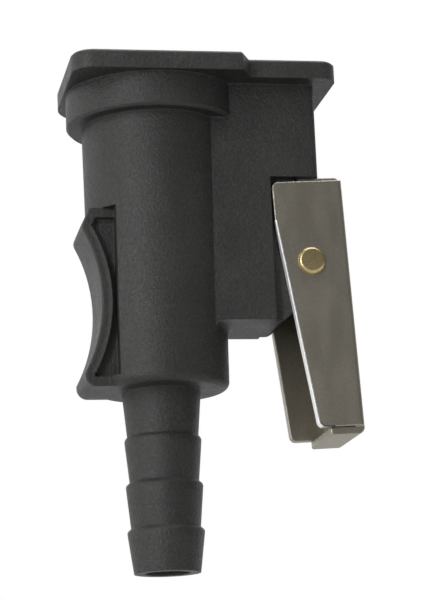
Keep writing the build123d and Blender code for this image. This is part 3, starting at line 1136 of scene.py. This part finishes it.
@dataclass
class Surroundings:
    """Camera, floor, backdrop and lamps. Lengths in millimetres, angles in degrees."""

    look_at: Triple = (8.215, 0.0, -31.83)
    forward: Triple = (0.18287, 0.95867, 0.21797)
    distance: float = 308.4
    roll: float = -2.44
    lens: float = 134.0
    sensor: float = 36.0
    floor_depth: float = 170.0
    floor_half_size: float = 4000.0
    floor_colour: Triple = (0.8, 0.8, 0.8)
    even_light: float = 0.48
    front_room: float = 0.115
    front_end: float = -0.30
    back_start: float = 0.68
    back_room: float = 0.85
    floor_glow: float = 0.66
    floor_lift: float = 0.62

    def camera(self) -> bpy.types.Object:
        """A long-lens camera that looks up at the coupling from the front left."""
        forward = Vector(self.forward).normalized()
        data = bpy.data.cameras.new("camera")
        data.lens = self.lens
        data.sensor_fit = "AUTO"
        data.sensor_width = self.sensor
        data.clip_start, data.clip_end = 0.01, 100.0
        made = bpy.data.objects.new("camera", data)
        bpy.context.scene.collection.objects.link(made)
        made.location = Vector(self.look_at) * MM - forward * self.distance * MM
        right = forward.cross(Vector((0.0, 0.0, 1.0))).normalized()
        up = right.cross(forward)
        turn = math.radians(self.roll)
        across = right * math.cos(turn) + up * math.sin(turn)
        upward = up * math.cos(turn) - right * math.sin(turn)
        made.rotation_mode = "QUATERNION"
        made.rotation_quaternion = Matrix((across, upward, -forward)).transposed().to_quaternion()
        bpy.context.scene.camera = made
        return made

    def seen_ray(self, tree: bpy.types.NodeTree, names: tuple[str, ...]) -> bpy.types.NodeSocket:
        """Tells rays apart.

        Args:
            tree: The tree that the nodes go into.
            names: Light Path outputs that count as seen.

        Returns:
            A socket that is 1 for such a ray and 0 for others.
        """
        path = tree.nodes.new("ShaderNodeLightPath")
        found = path.outputs[names[0]]
        for name in names[1:]:
            either = tree.nodes.new("ShaderNodeMath")
            either.operation = "MAXIMUM"
            tree.links.new(found, either.inputs[0])
            tree.links.new(path.outputs[name], either.inputs[1])
            found = either.outputs[0]
        return found

    def floor_material(self) -> bpy.types.Material:
        """A matt floor that the camera sees lifted to white but for the object's shadow.

        Mirrors and glass see an even pale glow in its place, and light that bounces
        off it takes the matt colour alone.
        """
        made = bpy.data.materials.new("pale_floor")
        made.use_nodes = True
        tree = made.node_tree
        tree.nodes.clear()
        new, link = tree.nodes.new, tree.links.new
        matt = new("ShaderNodeBsdfDiffuse")
        matt.inputs["Color"].default_value = (*self.floor_colour, 1.0)
        lift = new("ShaderNodeEmission")
        lift.inputs["Strength"].default_value = self.floor_lift
        glow = new("ShaderNodeEmission")
        glow.inputs["Strength"].default_value = self.floor_glow
        lifted = new("ShaderNodeAddShader")
        link(matt.outputs[0], lifted.inputs[0])
        link(lift.outputs[0], lifted.inputs[1])
        shown = new("ShaderNodeMixShader")
        link(self.seen_ray(tree, ("Is Camera Ray",)), shown.inputs[0])
        link(matt.outputs[0], shown.inputs[1])
        link(lifted.outputs[0], shown.inputs[2])
        mix = new("ShaderNodeMixShader")
        link(self.seen_ray(tree, ("Is Glossy Ray", "Is Transmission Ray")), mix.inputs[0])
        link(shown.outputs[0], mix.inputs[1])
        link(glow.outputs[0], mix.inputs[2])
        out = new("ShaderNodeOutputMaterial")
        link(mix.outputs[0], out.inputs["Surface"])
        return made

    def floor(self) -> bpy.types.Object:
        """A wide level floor below the coupling, too far down to touch it."""
        half = self.floor_half_size * MM
        depth = -self.floor_depth * MM
        across = np.array([-half, half, half, -half])
        along = np.array([-half, -half, half, half])
        corners = np.stack([across, along, np.full(4, depth)], axis=-1)
        mesh = bpy.data.meshes.new("floor")
        mesh.from_pydata(corners.tolist(), [], [(0, 1, 2, 3)])
        made = bpy.data.objects.new("floor", mesh)
        bpy.context.scene.collection.objects.link(made)
        mesh.materials.append(self.floor_material())
        return made

    def world(self) -> None:
        """White surroundings for camera and glass; mirrors see white behind, dim in front."""
        world = bpy.data.worlds.new("studio")
        bpy.context.scene.world = world
        world.use_nodes = True
        tree = world.node_tree
        tree.nodes.clear()
        new, link = tree.nodes.new, tree.links.new
        where = new("ShaderNodeTexCoord")
        axes = new("ShaderNodeSeparateXYZ")
        link(where.outputs["Generated"], axes.inputs[0])
        behind = new("ShaderNodeMapRange")
        behind.interpolation_type = "SMOOTHSTEP"
        link(axes.outputs["Y"], behind.inputs["Value"])
        behind.inputs["From Min"].default_value = self.front_end
        behind.inputs["From Max"].default_value = self.back_start
        behind.inputs["To Min"].default_value = self.front_room
        behind.inputs["To Max"].default_value = self.back_room
        even = new("ShaderNodeBackground")
        even.inputs["Strength"].default_value = self.even_light
        mirrored = new("ShaderNodeBackground")
        link(behind.outputs["Result"], mirrored.inputs["Strength"])
        white = new("ShaderNodeBackground")
        for background in (even, mirrored, white):
            background.inputs["Color"].default_value = (1.0, 1.0, 1.0, 1.0)
        first = new("ShaderNodeMixShader")
        link(self.seen_ray(tree, ("Is Glossy Ray",)), first.inputs[0])
        link(even.outputs[0], first.inputs[1])
        link(mirrored.outputs[0], first.inputs[2])
        second = new("ShaderNodeMixShader")
        link(self.seen_ray(tree, ("Is Camera Ray", "Is Transmission Ray")), second.inputs[0])
        link(first.outputs[0], second.inputs[1])
        link(white.outputs[0], second.inputs[2])
        out = new("ShaderNodeOutputWorld")
        link(second.outputs[0], out.inputs["Surface"])

    def lamp(
        self,
        name: str,
        place: Triple,
        size: tuple[float, float],
        watts: float,
    ) -> bpy.types.Object:
        """An area lamp aimed at the coupling's middle.

        Args:
            name: The lamp's name.
            place: Where it stands, in millimetres from the point looked at.
            size: Its width and height in millimetres.
            watts: Its power.

        Returns:
            The lamp.
        """
        data = bpy.data.lights.new(name, "AREA")
        data.shape = "RECTANGLE"
        data.size, data.size_y = size[0] * MM, size[1] * MM
        data.energy = watts
        made = bpy.data.objects.new(name, data)
        bpy.context.scene.collection.objects.link(made)
        made.location = (Vector(self.look_at) + Vector(place)) * MM
        made.rotation_mode = "QUATERNION"
        made.rotation_quaternion = (-Vector(place)).to_track_quat("-Z", "Y")
        return made

    def build(self) -> None:
        """Makes the camera, the floor, the surroundings and the lamps."""
        self.camera()
        self.floor()
        self.world()
        self.lamp("left_window", (-470.0, 60.0, 60.0), (200.0, 420.0), 0.45)
        self.lamp("front_left_window", (-361.0, -415.0, 123.0), (110.0, 460.0), 1.8)
        self.lamp("top_soft", (40.0, -60.0, 460.0), (420.0, 420.0), 1.6)


def main() -> None:
    """Builds the coupling and its surroundings."""
    logging.basicConfig(level=logging.INFO, format="%(name)s %(message)s")
    workshop = Workshop()
    MouldedBody(workshop).build()
    PortAssembly(workshop).build()
    LatchAssembly(workshop).build()
    Surroundings().build()
    bpy.context.scene.view_settings.view_transform = "Standard"


if __name__ == "__main__":
    main()
